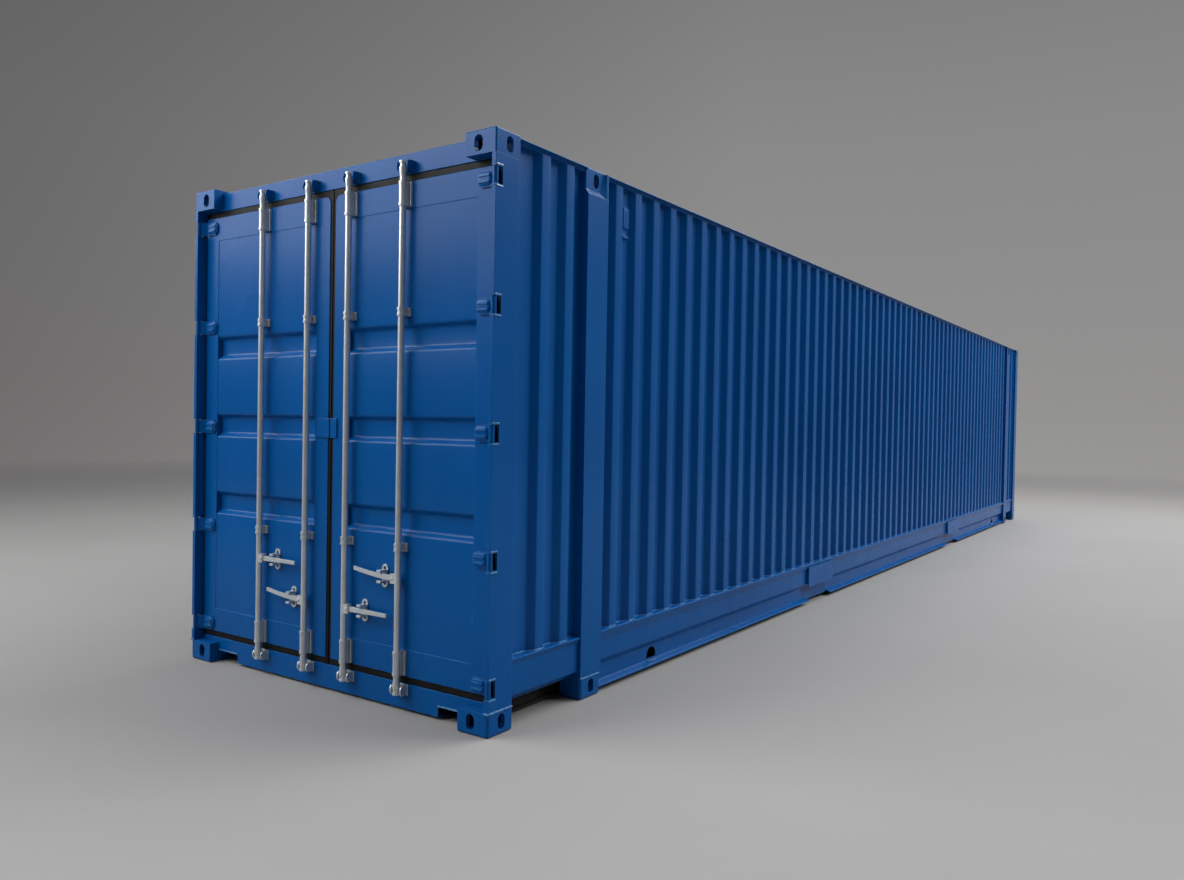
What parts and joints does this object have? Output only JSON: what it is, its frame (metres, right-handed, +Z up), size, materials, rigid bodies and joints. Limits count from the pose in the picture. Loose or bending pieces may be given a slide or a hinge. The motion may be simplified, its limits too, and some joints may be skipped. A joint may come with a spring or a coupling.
{
  "type": "shipping container, 45-foot high-cube, with double doors",
  "caption": "Blue corrugated steel shipping container with hinged rear doors, lock bars with handles, castings, intermediate posts and a plywood floor.",
  "frame": {"origin": "on the ground under the middle of the container", "axes": "+Z up, the doors face -Y, +X is the container's right side seen from the doors"},
  "size_m": [2.438, 13.716, 2.896],
  "materials": {
    "blue_paint": "satin",
    "galvanised_steel": "satin",
    "rubber": "matte",
    "plywood": "satin",
    "underseal": "matte"
  },
  "bodies": {
    "container": {"bottom_rail_left": "blue_paint", "bottom_rail_right": "blue_paint", "cam_keepers": "blue_paint", "corner_castings": "blue_paint", "cross_members": "underseal", "door_header": "blue_paint", "door_sill": "blue_paint", "end_bay_beams": "underseal", "end_bay_rails": "blue_paint", "end_bay_walls": "blue_paint", "floor_boards": "plywood", "front_bottom_rail": "blue_paint", "front_posts": "blue_paint", "front_top_rail": "blue_paint", "front_wall": "blue_paint", "grapple_plates": "blue_paint", "hinge_lugs": "blue_paint", "intermediate_castings": "blue_paint", "intermediate_posts": "blue_paint", "rear_post_left": "blue_paint", "rear_post_right": "blue_paint", "roof_sheet": "blue_paint", "side_wall_left": "blue_paint", "side_wall_right": "blue_paint", "top_rail_left": "blue_paint", "top_rail_right": "blue_paint", "ventilators": "blue_paint"},
    "right_door": {"door_frame_right": "blue_paint", "door_panel_right": "blue_paint", "door_gasket_right": "rubber", "hinge_blades_right": "blue_paint", "bar_brackets_right": "galvanised_steel", "handle_catches_right": "galvanised_steel", "seam_plate_right": "blue_paint"},
    "right_inner_lock_bar": {"inner_bar_right": "galvanised_steel", "inner_handle_right": "galvanised_steel"},
    "right_outer_lock_bar": {"outer_bar_right": "galvanised_steel", "outer_handle_right": "galvanised_steel"},
    "left_door": {"door_frame_left": "blue_paint", "door_panel_left": "blue_paint", "door_gasket_left": "rubber", "hinge_blades_left": "blue_paint", "bar_brackets_left": "galvanised_steel", "handle_catches_left": "galvanised_steel", "seam_plate_left": "blue_paint"},
    "left_inner_lock_bar": {"inner_bar_left": "galvanised_steel", "inner_handle_left": "galvanised_steel"},
    "left_outer_lock_bar": {"outer_bar_left": "galvanised_steel", "outer_handle_left": "galvanised_steel"}
  },
  "joints": [
    {"name": "right_door_swing", "type": "hinge", "parent": "container", "child": "right_door", "pos_m": [1.203, -6.842, 1.457], "axis": [0, 0, 1], "range_deg": [0, 265]},
    {"name": "right_inner_bar_turn", "type": "hinge", "parent": "right_door", "child": "right_inner_lock_bar", "pos_m": [0.167, -6.834, 1.457], "axis": [0, 0, 1], "range_deg": [-100, 0]},
    {"name": "right_outer_bar_turn", "type": "hinge", "parent": "right_door", "child": "right_outer_lock_bar", "pos_m": [0.578, -6.834, 1.457], "axis": [0, 0, -1], "range_deg": [-100, 0]},
    {"name": "left_door_swing", "type": "hinge", "parent": "container", "child": "left_door", "pos_m": [-1.203, -6.842, 1.457], "axis": [0, 0, -1], "range_deg": [0, 265]},
    {"name": "left_inner_bar_turn", "type": "hinge", "parent": "left_door", "child": "left_inner_lock_bar", "pos_m": [-0.167, -6.834, 1.457], "axis": [0, 0, -1], "range_deg": [-100, 0]},
    {"name": "left_outer_bar_turn", "type": "hinge", "parent": "left_door", "child": "left_outer_lock_bar", "pos_m": [-0.578, -6.834, 1.457], "axis": [0, 0, 1], "range_deg": [-100, 0]}
  ]
}
